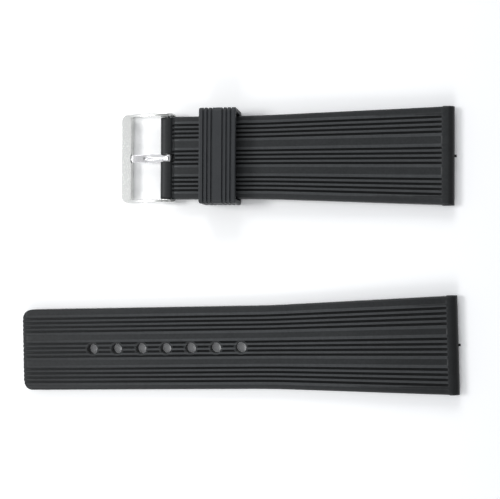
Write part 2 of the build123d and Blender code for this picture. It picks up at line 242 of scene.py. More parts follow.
frame_colour = (0.72, 0.725, 0.71, 1)
tongue_colour = (0.70, 0.695, 0.705, 1)
bar_colour = (0.52, 0.52, 0.51, 1)
frame_steel = steel_material(
    "frame_steel", frame_colour, roughness=0.27, spread=0.012,
    stretch=(1, 0.12, 1), mark_scale=6000.0, mark_depth=0.0006 * mm,
)
tongue_steel = steel_material(
    "tongue_steel", tongue_colour, roughness=0.24, spread=0.02,
    stretch=(0.12, 1, 1), mark_scale=6000.0, mark_depth=0.001 * mm,
)
bar_steel = steel_material(
    "bar_steel", bar_colour, roughness=0.3, spread=0.05,
    stretch=(1, 0.02, 1), mark_scale=4000.0, mark_depth=0.003 * mm,
)
print("steel:", frame_steel.name, tongue_steel.name, bar_steel.name)

# %% [markdown]
# Mesh helpers. A moulded or machined form is a skin: a row of closed loops, each with as many points,
# joined loop to loop. Its ends are capped, or its last loop is joined to its first.


# %% Helpers for meshes
def skin(name, loops, closed=False):
    """A mesh through closed loops of points, capped at both ends unless it closes on itself."""
    mesh = bpy.data.meshes.new(name)
    count = len(loops[0])
    faces = []
    rows = len(loops) if closed else len(loops) - 1
    for row in range(rows):
        here, there = row * count, (row + 1) % len(loops) * count
        for step in range(count):
            after = (step + 1) % count
            faces.append((here + step, here + after, there + after, there + step))
    if not closed:
        last = (len(loops) - 1) * count
        faces.append(tuple(reversed(range(count))))
        faces.append(tuple(range(last, last + count)))
    mesh.from_pydata([point for loop in loops for point in loop], [], faces)
    return mesh


def tidy_normals(mesh, merge=0.001 * mm):
    """Merges doubles, drops what has no area and turns every face outwards."""
    work = bmesh.new()
    work.from_mesh(mesh)
    bmesh.ops.remove_doubles(work, verts=work.verts, dist=merge)
    bmesh.ops.dissolve_degenerate(work, dist=merge, edges=work.edges)
    bmesh.ops.recalc_face_normals(work, faces=work.faces)
    work.to_mesh(mesh)
    work.free()


def new_object(name, mesh, material=None):
    thing = bpy.data.objects.new(name, mesh)
    bpy.context.scene.collection.objects.link(thing)
    if material:
        mesh.materials.clear()
        mesh.materials.append(material)
    return thing


def baked(thing):
    """The plain mesh that an object has with its modifiers, which are then removed."""
    bpy.context.view_layer.update()
    graph = bpy.context.evaluated_depsgraph_get()
    mesh = bpy.data.meshes.new_from_object(thing.evaluated_get(graph))
    thing.modifiers.clear()
    old = thing.data
    thing.data = mesh
    bpy.data.meshes.remove(old)
    return mesh


def shade(thing, limit=38.0):
    """Smooth shading, sharp where faces turn by more than limit degrees, and level on the large flats."""
    work = bmesh.new()
    work.from_mesh(thing.data)
    for face in work.faces:
        face.smooth = True
    for edge in work.edges:
        edge.smooth = len(edge.link_faces) == 2 and edge.calc_face_angle(0) < radians(limit)
    work.to_mesh(thing.data)
    work.free()
    level = thing.modifiers.new("level", "WEIGHTED_NORMAL")
    level.keep_sharp = True
    level.weight = 100
    baked(thing)


def combine(thing, tool_mesh, operation):
    """Cuts a tool away from a piece, or welds it on, and throws the tool away."""
    tidy_normals(tool_mesh)
    tool = new_object("tool", tool_mesh)
    cut = thing.modifiers.new("cut", "BOOLEAN")
    cut.operation = operation
    cut.solver = "EXACT"
    cut.object = tool
    baked(thing)
    bpy.data.objects.remove(tool)


def mark_ribs(thing, top_at, relief_at, shade_at, start, end):
    """Keeps how far each point of the ribs lies under their tops, in groove depths, for the painted sheen and
    shade.

    Grooves that are shallow get less of it, and shade_at adds painted shade where light reaches the rubber less.
    """
    deepest = 1.3
    ribs_reach = buckle_width / 2 - edge_round
    band_share = band_drop / groove_depth
    painted_sheen_and_shade = thing.data.attributes.new("painted_sheen_and_shade", "FLOAT", "POINT")
    for index, vertex in enumerate(thing.data.vertices):
        x, y, z = vertex.co
        depth = (top_at(x) - z) / groove_depth
        value = band_share
        if start < x < end and depth < deepest and abs(y) < ribs_reach:
            relief = relief_at(x)
            value += (depth / relief - band_share) * relief ** 2
        painted_sheen_and_shade.data[index].value = value + shade_at(x)


def report(thing):
    size = [round(value / mm, 2) for value in thing.dimensions]
    print(f"{thing.name}: {len(thing.data.polygons)} faces, {size} mm")


def finish_piece(thing, body, slot, *nodes):
    """The piece rides on its body and stands for CAD nodes, which it hides. Its slot is not used."""
    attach(thing, body)
    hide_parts(*nodes)
    report(thing)


# %% [markdown]
# Both halves are moulded in one piece, so each is one skin, from end to end: the loops are
# cross-sections, and they crowd together where the side view is round. Only the smooth body is made
# here. The ribs are carved in the next step, but they need points to be carved in, so the loops already
# have a point wherever a groove's floor, wall or shoulder will be.

# %% Sizes that both halves share
buckle_width = 22.0 * mm
lug_body_width = 25.5 * mm
lug_bar_width = 25.6 * mm
lug_thickness = 2 * lug_nose
buckle_lug_bar = 3.15 * mm
tail_lug_bar = 2.75 * mm
taper_blend = 10.0 * mm
edge_round = 0.6 * mm
rib_run = 0.5 * mm
groove_depth = 0.5 * mm
band_drop = 0.15 * mm
corner_steps = 6

# The ribs' layout on each half, as shares of its width: rib pitch, group spacing, and a shift to one side
buckle_ribs = (0.0508, 0.3185, 0.0)
tail_ribs = (0.0526, 0.311, -0.01)

# A groove's profile: places in rib pitches from its middle, with the share of its depth there
groove_profile = ((0, 1), (0.05, 0.98), (0.1, 0.9), (0.15, 0.72), (0.195, 0.48), (0.235, 0.29),
                  (0.29, 0.16), (0.35, 0.075), (0.42, 0.02), (0.5, 0))
# The edge of a group of ribs, in rib pitches from the group's middle, and the points along that edge
group_edge = (2.26, 2.44)
edge_steps = 4
groups = (-1, 0, 1)
grooves_of_group = (-1.5, -0.5, 0.5, 1.5)
half_group = 2.0


def shares_across(ribs):
    """Places across the top, as shares of the width, from one outer band to the other."""
    pitch_share, spacing_share, shift_share = ribs
    shoulder, foot = group_edge
    places = set()
    for group in groups:
        middle = shift_share + group * spacing_share
        pitches = {
            (shoulder * (edge_steps - step) + foot * step) / edge_steps for step in range(edge_steps + 1)
        }
        for groove in grooves_of_group:
            for place, _ in groove_profile:
                pitches |= {abs(groove + place), abs(groove - place)}
        for pitch in pitches:
            places |= {round(middle + pitch * pitch_share, 7), round(middle - pitch * pitch_share, 7)}
    return sorted(places)


print("points across the ribs:", len(shares_across(buckle_ribs)))


# %% [markdown]
# A cross-section needs to know how wide the strap is at its place, and where the underside and the top
# lie there. Both halves are parallel at first, and then widen in a soft bend to the lug end. A round
# end is a row of sections at even turns, so they crowd together where it is steepest. The outermost one
# keeps a hair of height, because a section without any height would leave faces without area.

# %% The side view and the width of a half
def smooth_step(value, start, end):
    step = min(max((value - start) / (end - start), 0), 1)
    return step * step * (3 - 2 * step)


def taper_width(x, taper_start, length):
    """Parallel, then a straight taper to the lug end that begins in a soft bend."""
    past = x - taper_start
    bend = taper_blend / 2
    if past <= -bend:
        run = 0
    elif past < bend:
        run = (past + bend) ** 2 / (4 * bend)
    else:
        run = past
    return buckle_width + (lug_body_width - buckle_width) * run / (length - taper_start)


def round_end(middle, radius, height, start, end):
    """Stations round an end: places along, with the underside and the top there. Angles are from +X."""
    stations = []
    steps = 16
    least_rise = 0.01 * mm
    for step in range(steps + 1):
        angle = radians(start + (end - start) * step / steps)
        rise = max(radius * sin(angle), least_rise)
        stations.append((middle + radius * cos(angle), height - rise, height + rise))
    return stations


def section(shares, x, width, under, top):
    """One cross-section: the top from side to side, then down, back along the flat underside, and up."""
    half = width / 2
    most_bend_share = 0.45
    under_shares = (0.6, 0.2, -0.2, -0.6)
    bend = min(edge_round, (top - under) * most_bend_share)
    corner = [
        (bend * sin(pi / 2 * step / corner_steps), bend * (1 - cos(pi / 2 * step / corner_steps)))
        for step in range(corner_steps + 1)
    ]
    upper = [(x, share * width, top) for share in shares]
    right = [(x, half - bend + out, top - down) for out, down in corner]
    right_low = [(x, half - bend + out, under + down) for out, down in reversed(corner)]
    middle_low = [(x, half * share, under) for share in under_shares]
    left_low = [(x, -y, z) for _, y, z in reversed(right_low)]
    left = [(x, -y, z) for _, y, z in reversed(right)]
    return upper + right + right_low + middle_low + left_low + left


def half_mesh(name, stations, ribs):
    """A half's smooth body. Each point keeps where it is along and across, for the ribs."""
    shares = shares_across(ribs)
    mesh = skin(name, [section(shares, *station) for station in stations])
    along = mesh.attributes.new("along", "FLOAT", "POINT")
    across = mesh.attributes.new("across_share", "FLOAT", "POINT")
    upper = mesh.attributes.new("upper", "FLOAT", "POINT")
    count = len(mesh.vertices) // len(stations)
    for row, (x, width, under, top) in enumerate(stations):
        for step in range(count):
            index = row * count + step
            along.data[index].value = x
            if step < len(shares):
                across.data[index].value = shares[step]
                upper.data[index].value = 1
    tidy_normals(mesh)
    print(f"{name}: {len(stations)} sections of {count} points")
    return mesh


# %% [markdown]
# The ribs fan out with the strap, because each groove lies at a fixed share of the width. That is a
# rule, so Geometry Nodes carve them: for each point of the top, the tree works out how far it is from
# the middle of its group, counts that in rib pitches, and lowers it by a groove's profile. The profile
# is drawn in a Float Curve. A second rule lets the grooves run out at both ends. The first two helpers
# open and close any tree.


# %% The tree that carves ribs
def new_geometry_tree(name, sizes):
    """A Geometry Nodes tree with named inputs: the geometry, its sizes and a material."""
    tree = bpy.data.node_groups.new(name, "GeometryNodeTree")
    tree.interface.new_socket("Geometry", in_out="INPUT", socket_type="NodeSocketGeometry")
    for label, value in sizes.items():
        kind = "NodeSocketInt" if isinstance(value, int) else "NodeSocketFloat"
        socket = tree.interface.new_socket(label, in_out="INPUT", socket_type=kind)
        socket.default_value = value
    tree.interface.new_socket("Material", in_out="INPUT", socket_type="NodeSocketMaterial")
    tree.interface.new_socket("Geometry", in_out="OUTPUT", socket_type="NodeSocketGeometry")
    return tree, add_node(tree, "NodeGroupInput").outputs


def finish_tree(tree, geometry, material):
    """The end of every tree: instances are made real, and the material is set."""
    real = add_node(tree, "GeometryNodeRealizeInstances", {"Geometry": geometry})
    painted = add_node(tree, "GeometryNodeSetMaterial",
                       {"Geometry": real.outputs["Geometry"], "Material": material})
    add_node(tree, "NodeGroupOutput", {"Geometry": painted.outputs["Geometry"]})
    return tree


def carve_tree():
    tree, given = new_geometry_tree("carve_ribs", {
        "Groove depth": groove_depth,
        "Band drop": band_drop,
        "Pitch share": buckle_ribs[0],
        "Spacing share": buckle_ribs[1],
        "Shift share": buckle_ribs[2],
        "First rib": 0.0,
        "Last rib": 1.0,
        "Run out": rib_run,
        "Shallow share": 1.0,
        "Full depth from": 0.0,
    })
    maths = partial(math_node, tree)

    def attribute(name):
        return add_node(tree, "GeometryNodeInputNamedAttribute", {"Name": name}).outputs[0]

    def step_between(value, low, high):
        sockets = {"Value": value, "From Min": low, "From Max": high}
        step = add_node(tree, "ShaderNodeMapRange", sockets, interpolation_type="SMOOTHSTEP")
        return step.outputs["Result"]

    share = maths("SUBTRACT", attribute("across_share"), given["Shift share"])
    along = attribute("along")
    group = maths("ROUND", maths("DIVIDE", share, given["Spacing share"]))
    group = maths("MAXIMUM", maths("MINIMUM", group, 1.0), -1.0)
    from_middle = maths("SUBTRACT", share, maths("MULTIPLY", group, given["Spacing share"]))
    pitches = maths("DIVIDE", from_middle, given["Pitch share"])
    counted = maths("ADD", pitches, 2 * half_group)
    in_rib = maths("ABSOLUTE", maths("SUBTRACT", maths("FRACT", counted), 0.5))
    curve = add_node(tree, "ShaderNodeFloatCurve", {"Value": maths("MULTIPLY", in_rib, 2.0)})
    profile = curve.mapping.curves[0]
    profile.points[0].location = (0, 1)
    profile.points[1].location = (1, 0)
    for place, depth_share in groove_profile[1:-1]:
        profile.points.new(2 * place, depth_share)
    curve.mapping.update()
    inside = maths("LESS_THAN", maths("ABSOLUTE", pitches), half_group)
    groove = maths("MULTIPLY", maths("MULTIPLY", curve.outputs["Value"], inside), given["Groove depth"])
    band = step_between(maths("ABSOLUTE", pitches), *group_edge)
    drop = maths("ADD", groove, maths("MULTIPLY", band, given["Band drop"]))

    begin = step_between(along, given["First rib"], maths("ADD", given["First rib"], given["Run out"]))
    stop = step_between(along, maths("SUBTRACT", given["Last rib"], given["Run out"]), given["Last rib"])
    run = maths("MULTIPLY", begin, maths("SUBTRACT", 1.0, stop))
    deepen = maths("MINIMUM", maths("DIVIDE", along, given["Full depth from"]), 1.0)
    shallow = maths("ADD", given["Shallow share"],
                    maths("MULTIPLY", maths("SUBTRACT", 1.0, given["Shallow share"]), deepen))
    drop = maths("MULTIPLY", maths("MULTIPLY", drop, run), maths("MULTIPLY", shallow, attribute("upper")))
    offset = add_node(tree, "ShaderNodeCombineXYZ", {"Z": maths("MULTIPLY", drop, -1.0)}).outputs["Vector"]
    moved = add_node(tree, "GeometryNodeSetPosition", {"Geometry": given["Geometry"], "Offset": offset})
    return finish_tree(tree, moved.outputs["Geometry"], given["Material"])


def run_tree(thing, tree, values):
    """Runs a tree on an object with named values, and leaves a plain mesh."""
    modifier = thing.modifiers.new(tree.name, "NODES")
    modifier.node_group = tree
    for item in tree.interface.items_tree:
        if item.in_out == "INPUT" and item.name in values:
            modifier[item.identifier] = values[item.name]
    return baked(thing)


def carve(half, ribs, sizes):
    """Carves the ribs of a half, in its layout and at its own places."""
    layout = dict(zip(("Pitch share", "Spacing share", "Shift share"), ribs))
    run_tree(half, carve_ribs, {**layout, **sizes, "Material": strap_rubber})
    report(half)


carve_ribs = carve_tree()
print("carving tree:", len(carve_ribs.nodes), "nodes")

# %% [markdown]
# The buckle half, from the knuckle tube that the spring bar runs through, over a shallow valley, up to
# the ribs, and on to the smooth bar at the lug end. It is lifted off the table at the knuckle, because
# the keeper's lower wall lies under it, and comes down to the table at the lug end.

# %% Stations of the buckle half
strap_lift = 1.3 * mm
buckle_thickness = 3.4 * mm
body_top = strap_lift + buckle_thickness
knuckle_radius = bar_place.z - strap_lift
knuckle_width = 21.8 * mm
knuckle_power = 2.5
valley_drop = 0.65 * mm
rib_start = 1.85 * mm
ramp_foot = 0.05 * mm
buckle_taper_start = 26.5 * mm
buckle_rise_start = 28.05 * mm
ribs_end = buckle_reach - buckle_lug_bar


def buckle_under(x):
    return strap_lift * (1 - smooth_step(x, buckle_rise_start, ribs_end))


def buckle_top(x):
    rise = smooth_step(x, buckle_rise_start, ribs_end)
    return buckle_under(x) + buckle_thickness + (lug_thickness - buckle_thickness) * rise


def buckle_relief(x):
    """The grooves of this half have their full depth all along."""
    return 1


def knuckle_rise(x):
    """Height of the knuckle's top over the bar: rounder than a box, and flatter than a circle."""
    return knuckle_radius * max(1 - abs(x / knuckle_radius) ** knuckle_power, 0) ** (1 / knuckle_power)


def buckle_stations():
    stations = []
    for x, under, top in round_end(0, knuckle_radius, bar_place.z, start=180, end=90):
        stations.append((x, knuckle_width, under, max(top, bar_place.z + knuckle_rise(x))))
    valley = body_top - valley_drop
    valley_share = (valley - bar_place.z) / knuckle_radius
    reach = knuckle_radius * (1 - valley_share ** knuckle_power) ** (1 / knuckle_power)
    shoulder_steps, ramp_steps, body_steps = 10, 6, 48
    for step in range(1, shoulder_steps + 1):
        x = reach * step / shoulder_steps
        stations.append((x, knuckle_width, strap_lift, bar_place.z + knuckle_rise(x)))
    stations.append((rib_start - ramp_foot, knuckle_width, strap_lift, valley))
    for step in range(ramp_steps + 1):
        x = rib_start + rib_run * step / ramp_steps
        lift = smooth_step(step, 0, ramp_steps)
        stations.append((x, buckle_width, strap_lift, valley + valley_drop * lift))
    for step in range(1, body_steps + 1):
        x = rib_start + rib_run + (ribs_end - 2 * rib_run - rib_start) * step / body_steps
        width = taper_width(x, buckle_taper_start, buckle_reach)
        stations.append((x, width, buckle_under(x), buckle_top(x)))
    last_width = taper_width(ribs_end, buckle_taper_start, buckle_reach)
    return stations + lug_end_stations(ribs_end, buckle_reach, last_width)


def lug_end_stations(ribs_end, length, width):
    """The last half millimetre of ribs, the step out to the lug bar, and its round nose."""
    stations = []
    run_steps = 5
    for step in range(1, run_steps + 1):
        stations.append((ribs_end - rib_run + rib_run * step / run_steps, width, 0, lug_thickness))
    stations.append((ribs_end + lug_step, lug_bar_width, 0, lug_thickness))
    for x, under, top in round_end(length - lug_nose, lug_nose, lug_nose, start=90, end=0):
        stations.append((x, lug_bar_width, under, top))
    return stations


lug_step = 0.12 * mm
buckle_half_mesh = half_mesh("buckle_half_rubber", buckle_stations(), buckle_ribs)
buckle_half = new_object("buckle_half_rubber", buckle_half_mesh)
carve(buckle_half, buckle_ribs, {
    "First rib": rib_start - rib_run,
    "Last rib": ribs_end,
    "Full depth from": rib_start,
})


# %% [markdown]
# What is cut out of the rubber is drilled or punched in the mould, so it is cut here too, with an exact
# boolean: the slot that the tongue swings in, the bore of the knuckle and the bore of the lug bar. A
# small moulding nub stands on the lug bar's nose. Last comes the attribute for the painted sheen and
# shade of the ribs. The lug bar turns away to its nose there, where little light reaches it, so the
# rubber gets a little painted shade.


# %% Tools for cutting
def drum(start, end, radius, steps=32):
    """A closed cylinder between two points."""
    along = (end - start).normalized()
    side = along.orthogonal().normalized()
    other = along.cross(side)
    turns = [2 * pi * step / steps for step in range(steps)]
    ring = [(side * cos(turn) + other * sin(turn)) * radius for turn in turns]
    return skin("drum", [[start + spoke for spoke in ring], [end + spoke for spoke in ring]])


def rounded_outline(low_x, high_x, half_width, radius, steps=8):
    """A rectangle in plan with round corners, as points that run round it."""
    corners = (
        (high_x - radius, half_width - radius, 0),
        (low_x + radius, half_width - radius, 90),
        (low_x + radius, radius - half_width, 180),
        (high_x - radius, radius - half_width, 270),
    )
    points = []
    for x, y, start in corners:
        for step in range(steps + 1):
            angle = radians(start + 90 * step / steps)
            points.append((x + radius * cos(angle), y + radius * sin(angle)))
    return points


def prism(outline, low, high):
    """A plan outline, carried straight up."""
    return skin("prism", [[(x, y, low) for x, y in outline], [(x, y, high) for x, y in outline]])


def drill(thing, middle, reach, radius, steps=32):
    """A round hole through a place, as far as reach to either side of it."""
    combine(thing, drum(middle - reach, middle + reach, radius, steps), "DIFFERENCE")


def cut_lug_end(thing, length):
    """The bore through a lug bar, and the nub on its nose."""
    drill(thing, Vector((length - lug_nose, 0, lug_nose)), Vector((0, lug_bar_width, 0)), lug_bore_radius)
    nose = Vector((length, 0, lug_nose))
    out = Vector((nub_length, 0, 0))
    combine(thing, drum(nose - out, nose + out, nub_radius, nub_sides), "UNION")


def nose_shade(x, length):
    """Painted shade: the lug bar is darker where it turns away to its nose. The places are in nose radii from its
    end.
    """
    most, start, end = 0.4, 1.25, 0.4
    return most * smooth_step(x, length - start * lug_nose, length - end * lug_nose)


def buckle_shade(x):
    return nose_shade(x, buckle_reach)


lug_bore_radius = mounts["lug_bore_buckle_half"]["dims"]["r_mm"] * mm
nub_radius = 0.35 * mm
nub_length = 0.5 * mm
nub_sides = 16
slot_width = 2.16 * mm
slot_reach = 2.4 * mm
slot_pocket_radius = 1.8 * mm
slot_round = 0.6 * mm
knuckle_bore_radius = 0.95 * mm

slot_outline = rounded_outline(-2 * knuckle_radius, slot_reach, slot_width / 2, slot_round)
combine(buckle_half, prism(slot_outline, bar_place.z, 2 * bar_place.z), "DIFFERENCE")
knuckle_axis = Vector((0, knuckle_width, 0))
knuckle_middle = Vector((0, 0, bar_place.z))
slot_side = Vector((0, slot_width / 2, 0))
drill(buckle_half, knuckle_middle, slot_side, slot_pocket_radius, steps=64)
drill(buckle_half, knuckle_middle, knuckle_axis, knuckle_bore_radius)
cut_lug_end(buckle_half, buckle_reach)
ribs_from, ribs_to = rib_start + rib_run / 2, ribs_end - rib_run / 2
mark_ribs(buckle_half, buckle_top, buckle_relief, buckle_shade, ribs_from, ribs_to)
buckle_half.data.transform(buckle_frame_place)
shade(buckle_half)
finish_piece(buckle_half, "strap", "strap_rubber", "buckle_strap")

# %% [markdown]
# The tail half is the same skin with other numbers: a bevelled tip with round corners, no knuckle, and
# grooves that are shallow at the tip and reach their full depth about halfway along. The photo shows it
# a little darker at the tip, and again towards the lug end.

# %% Stations of the tail half
tail_thickness = 3.0 * mm
tail_tip_thickness = 2.3 * mm
tail_tip_bevel = 1.6 * mm
tail_tip_round = 3.0 * mm
tail_taper_start = 68.5 * mm
tip_depth_share = 0.5
full_depth_from = 48.0 * mm
tail_ribs_end = tail_length - tail_lug_bar


def tail_top(x):
    rise = smooth_step(x, tail_taper_start, tail_ribs_end)
    return tail_thickness + (lug_thickness - tail_thickness) * rise


def tail_relief(x):
    return tip_depth_share + (1 - tip_depth_share) * min(x / full_depth_from, 1)


def tail_shade(x):
    # Painted shade, a little at the tip and more towards the lug end
    tip_shade, tip_end = 0.09, 22 * mm
    far_shade, far_start, far_end = 0.11, 80 * mm, 110 * mm
    shade_at_tip = tip_shade * (1 - smooth_step(x, 0, tip_end))
    return shade_at_tip + far_shade * smooth_step(x, far_start, far_end) + nose_shade(x, tail_length)


def tail_stations():
    stations = []
    bevel_steps, body_steps = 4, 72
    for step in range(bevel_steps + 1):
        share = step / bevel_steps
        top = tail_tip_thickness + (tail_thickness - tail_tip_thickness) * sin(pi / 2 * share)
        stations.append((tail_tip_bevel * share, buckle_width, 0, top))
    for step in range(1, body_steps + 1):
        x = tail_tip_bevel + (tail_ribs_end - rib_run - tail_tip_bevel) * step / body_steps
        stations.append((x, taper_width(x, tail_taper_start, tail_length), 0, tail_top(x)))
    width = taper_width(tail_ribs_end, tail_taper_start, tail_length)
    return stations + lug_end_stations(tail_ribs_end, tail_length, width)


tail_half = new_object("tail_half_rubber", half_mesh("tail_half_rubber", tail_stations(), tail_ribs))
carve(tail_half, tail_ribs, {
    "First rib": -tail_length,
    "Last rib": tail_ribs_end,
    "Shallow share": tip_depth_share,
    "Full depth from": full_depth_from,
})

# The outline that trims the tip: its two round corners, and then far past the lug end
hair = 0.001 * mm
tip_corners = rounded_outline(0, 4 * tail_tip_round, buckle_width / 2, tail_tip_round, steps=12)
tip_corners = [point for point in tip_corners if point[0] <= tail_tip_round + hair]
tip_outline = tip_corners + [(2 * tail_length, -buckle_width), (2 * tail_length, buckle_width)]

# %% [markdown]
# Seven holes for the tongue run down the middle of the tail. Each has a flat collar that closes the
# grooves round it. They repeat at one pitch, so Geometry Nodes set a collar and a punch on each point
# of a line, and two boolean nodes weld the collars on and punch the holes.

# %% The tree that punches holes
hole_count = 7
hole_pitch = 6.8 * mm
first_hole = 19.8 * mm
hole_radius = 1.45 * mm
hole_sides = 48
collar_width = 0.5 * mm
collar_drop = 0.16 * mm


def punch_tree():
    tree, given = new_geometry_tree("punch_holes", {
        "Count": hole_count,
        "Pitch": hole_pitch,
        "First hole": first_hole,
        "Hole radius": hole_radius,
        "Collar radius": hole_radius + collar_width,
        "Collar foot": 1 * mm,
        "Collar top": 2 * mm,
        "Punch length": 10 * mm,
    })
    maths = partial(math_node, tree)

    def row_of(radius, low, high):
        """A cylinder at each hole, between two heights."""
        depth = maths("SUBTRACT", high, low)
        rod = add_node(tree, "GeometryNodeMeshCylinder",
                       {"Vertices": hole_sides, "Radius": radius, "Depth": depth})
        middle = maths("MULTIPLY", maths("ADD", low, high), 0.5)
        start = add_node(tree, "ShaderNodeCombineXYZ", {"X": given["First hole"], "Z": middle})
        pitch = add_node(tree, "ShaderNodeCombineXYZ", {"X": given["Pitch"]})
        line = add_node(tree, "GeometryNodeMeshLine", {
            "Count": given["Count"],
            "Start Location": start.outputs["Vector"],
            "Offset": pitch.outputs["Vector"],
        })
        rods = add_node(tree, "GeometryNodeInstanceOnPoints",
                        {"Points": line.outputs["Mesh"], "Instance": rod.outputs["Mesh"]})
        real = add_node(tree, "GeometryNodeRealizeInstances", {"Geometry": rods.outputs["Instances"]})
        return real.outputs["Geometry"]

    collars = row_of(given["Collar radius"], given["Collar foot"], given["Collar top"])
    welded = add_node(tree, "GeometryNodeMeshBoolean", operation="UNION", solver="EXACT")
    tree.links.new(given["Geometry"], welded.inputs["Mesh 2"])
    tree.links.new(collars, welded.inputs["Mesh 2"])
    under = maths("MULTIPLY", given["Punch length"], -1.0)
    punches = row_of(given["Hole radius"], under, given["Punch length"])
    punched = add_node(tree, "GeometryNodeMeshBoolean", operation="DIFFERENCE", solver="EXACT")
    tree.links.new(welded.outputs["Mesh"], punched.inputs["Mesh 1"])
    tree.links.new(punches, punched.inputs["Mesh 2"])
    return finish_tree(tree, punched.outputs["Mesh"], given["Material"])


punch_holes = punch_tree()
run_tree(tail_half, punch_holes, {
    "Collar foot": tail_thickness - groove_depth - band_drop,
    "Collar top": tail_thickness - collar_drop,
    "Punch length": 2 * lug_thickness,
    "Material": strap_rubber,
})
combine(tail_half, prism(tip_outline, -lug_thickness, 2 * lug_thickness), "INTERSECT")
cut_lug_end(tail_half, tail_length)
mark_ribs(tail_half, tail_top, tail_relief, tail_shade, tail_tip_bevel, tail_ribs_end - rib_run / 2)
tail_half.data.transform(tail_place)
shade(tail_half)
finish_piece(tail_half, "tail", "strap_rubber", "tail_strap")

# %% [markdown]
# The keeper is a loop of the same kind of rubber, a little darker and with a softer shine. Its skin
# runs from one end face over the outside, with its six grooves, to the other end face, and back through
# the inside. Each loop of it is a rounded rectangle, and a groove is the same rectangle drawn in.

# %% Keeper
keeper_side_wall = 1.15 * mm
keeper_wall = 1.2 * mm
keeper_outer_round = 1.2 * mm
keeper_inner_round = 0.5 * mm
keeper_end_round = 0.3 * mm
keeper_groove_pitch = 1.08 * mm
keeper_groove_width = 0.42 * mm
keeper_groove_depth = 0.45 * mm
keeper_band = 2.87 * mm
keeper_size = keeper_high - keeper_low
keeper_middle = (keeper_low + keeper_high) / 2

# One side of a groove round the keeper: half widths from its middle, with the share of its depth there
keeper_groove_side = ((1.25, 0), (1.05, 0.08), (0.85, 0.5), (0.7, 0.9), (0.4, 1))


def keeper_loop(x, width, height, radius, steps=10):
    """A rounded rectangle that stands across the strap."""
    half_height = height / 2
    return [
        (x, keeper_middle.y + y, keeper_middle.z + z)
        for z, y in rounded_outline(-half_height, half_height, width / 2, radius, steps)
    ]


def rounding(radius, steps):
    """A rounded edge as points: how far each lies in from the end, and how far from the side."""
    turns = [pi / 2 * step / steps for step in range(steps + 1)]
    return [(radius * (1 - cos(turn)), radius * (1 - sin(turn))) for turn in turns]


def keeper_outside():
    """Along the outside: places from the keeper's middle, with how far the skin is drawn in there."""
    half = keeper_size.x / 2
    lip = keeper_groove_width / 2
    grooves_each_side = 3
    grooves = [
        side * (keeper_band / 2 + keeper_groove_pitch * number)
        for side in (-1, 1) for number in range(grooves_each_side)
    ]
    end = rounding(keeper_end_round, 5)
    places = [(along - half, drop) for along, drop in end]
    for groove in sorted(grooves):
        for out, depth_share in keeper_groove_side:
            places.append((groove - out * lip, keeper_groove_depth * depth_share))
        for out, depth_share in reversed(keeper_groove_side):
            places.append((groove + out * lip, keeper_groove_depth * depth_share))
    return places + [(half - along, drop) for along, drop in reversed(end)]


def keeper_loops():
    loops = []
    for x, drop in keeper_outside():
        width = keeper_size.y - 2 * drop
        height = keeper_size.z - 2 * drop
        loops.append(keeper_loop(keeper_middle.x + x, width, height, keeper_outer_round - drop))
    half = keeper_size.x / 2
    mouth = [(half - along, widen) for along, widen in rounding(keeper_end_round / 2, 3)]
    for x, widen in mouth + [(-x, widen) for x, widen in reversed(mouth)]:
        width = keeper_size.y - 2 * keeper_side_wall + 2 * widen
        height = keeper_size.z - 2 * keeper_wall + 2 * widen
        loops.append(keeper_loop(keeper_middle.x + x, width, height, keeper_inner_round + widen))
    return loops


keeper = new_object("keeper_loop", skin("keeper_loop", keeper_loops(), closed=True), keeper_rubber)
tidy_normals(keeper.data)
shade(keeper)
finish_piece(keeper, "keeper", "keeper_rubber", "keeper")

# %% [markdown]
# The buckle frame is one piece of steel: a front bar with rounded corners in plan, and two thin arched
# arms that end in round ears. It could be bent from one strip, but its real parts differ in width and
# height. So each part is an outline carried through its thickness. Real edges are broken, never sharp,
# so each part is bevelled before they are welded together.

# %% Buckle frame
front_bar_width = 2.65 * mm
front_bar_height = 3.0 * mm
front_corner_round = 1.7 * mm
arm_thickness = 0.8 * mm
arm_crown = 5.2 * mm
arm_root_height = 0.7 * mm
arm_belly_height = 2.35 * mm
arm_belly_share = 0.6
steel_bevel = 0.12 * mm
ear_radius = 2.25 * mm
ear_hole_radius = 0.5 * mm
notch_width = 2.5 * mm
notch_reach = 0.2 * mm
notch_round = 0.15 * mm
notch_depth = 0.75 * mm
frame_reach = bar_place.x - frame_low.x
frame_half = (frame_high.y - frame_low.y) / 2
window_x = -frame_reach + front_bar_width

# The underside of an ear, from straight under the bar to where the arm starts, in ear radii from the bar
ear_under_shares = ((0, -1), (-0.33, -0.944), (-0.62, -0.785))


def arc_points(start, middle, end, steps):
    """Points on the circle through three points, from the first to the last, in a plane."""
    ax, ay = start
    bx, by = middle
    cx, cy = end
    a, b, c = ax * ax + ay * ay, bx * bx + by * by, cx * cx + cy * cy
    spread = 2 * (ax * (by - cy) + bx * (cy - ay) + cx * (ay - by))
    centre_x = (a * (by - cy) + b * (cy - ay) + c * (ay - by)) / spread
    centre_y = (a * (cx - bx) + b * (ax - cx) + c * (bx - ax)) / spread
    centre = Vector((centre_x, centre_y))
    first = Vector(start) - centre
    total = first.angle_signed(Vector(end) - centre)
    points = []
    for step in range(steps + 1):
        turn = -total * step / steps
        out = first.x * cos(turn) - first.y * sin(turn)
        up = first.x * sin(turn) + first.y * cos(turn)
        points.append(tuple(centre + Vector((out, up))))
    return points


def bevel(thing, width, segments, limit):
    edge = thing.modifiers.new("bevel", "BEVEL")
    edge.width = width
    edge.segments = segments
    edge.limit_method = "ANGLE"
    edge.angle_limit = radians(limit)
    edge.use_clamp_overlap = True
    baked(thing)


